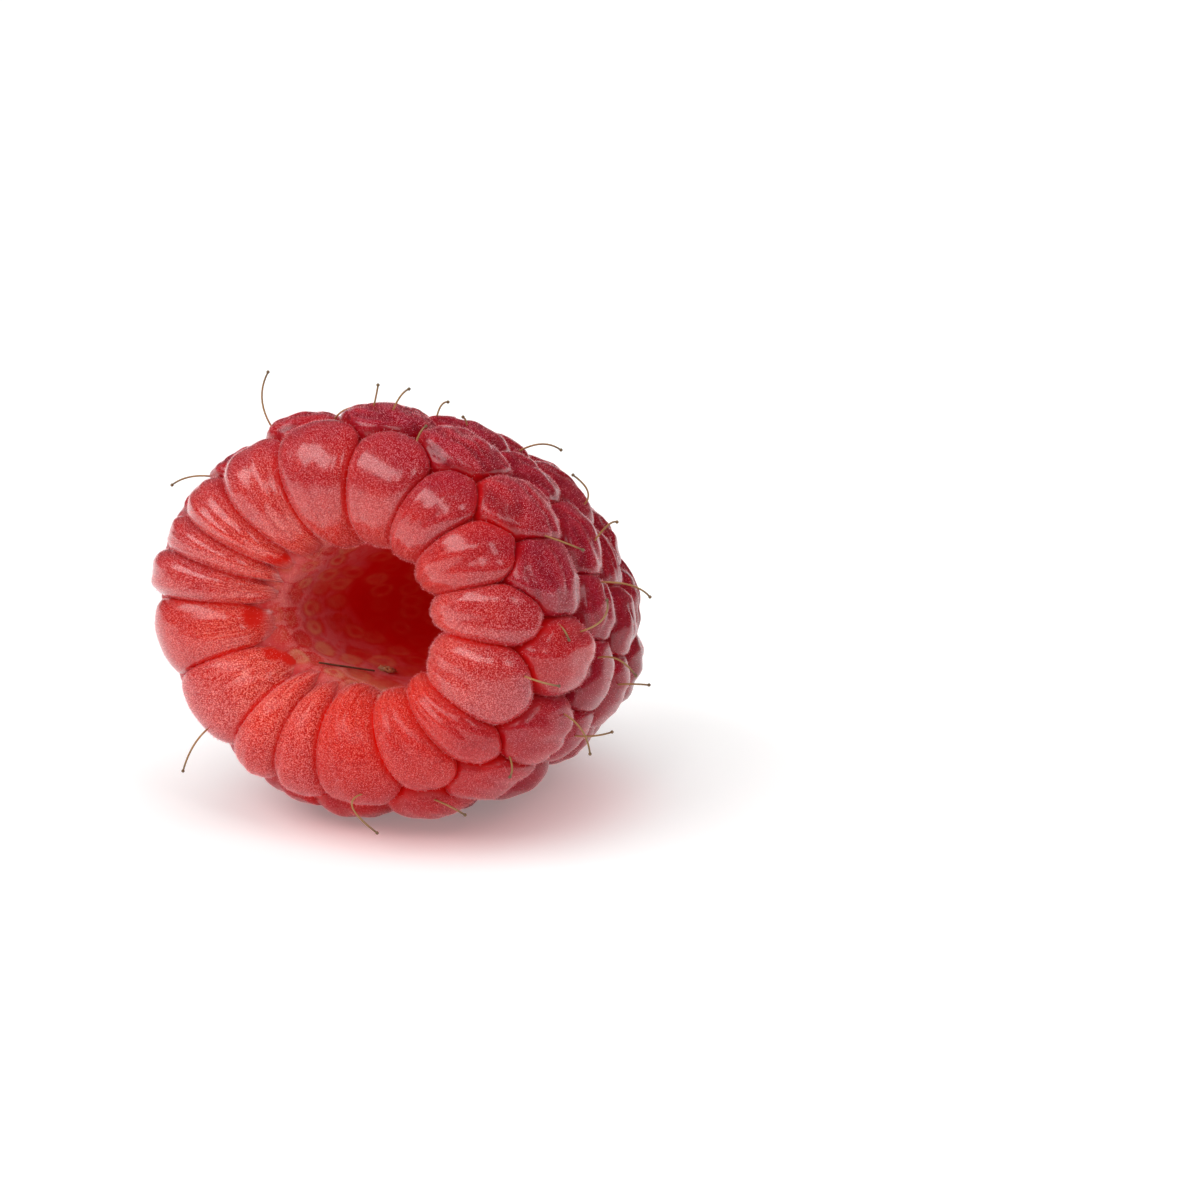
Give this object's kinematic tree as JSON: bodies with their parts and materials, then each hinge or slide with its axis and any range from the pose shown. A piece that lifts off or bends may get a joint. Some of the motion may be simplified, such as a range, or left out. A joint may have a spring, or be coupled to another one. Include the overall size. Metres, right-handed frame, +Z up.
{
  "type": "raspberry",
  "caption": "Ripe raspberry picked off its plug, lying on its side with the open hollow towards -Y: rolled rim drupelets, staggered rows of drupelets and a blunt tip.",
  "frame": {"origin": "centre of the bounding box at its base, on the surface that the berry lies on", "axes": "+Z up, -Y out of the mouth of the hollow, +Y towards the tip, +X across the berry"},
  "size_m": [0.0248, 0.0244, 0.0211],
  "materials": {
    "flesh": "soft satin fruit skin, deep crimson, warmer at the rim, with a fine pale down"
  },
  "bodies": {
    "root": {"drupelets": "flesh"}
  },
  "joints": []
}
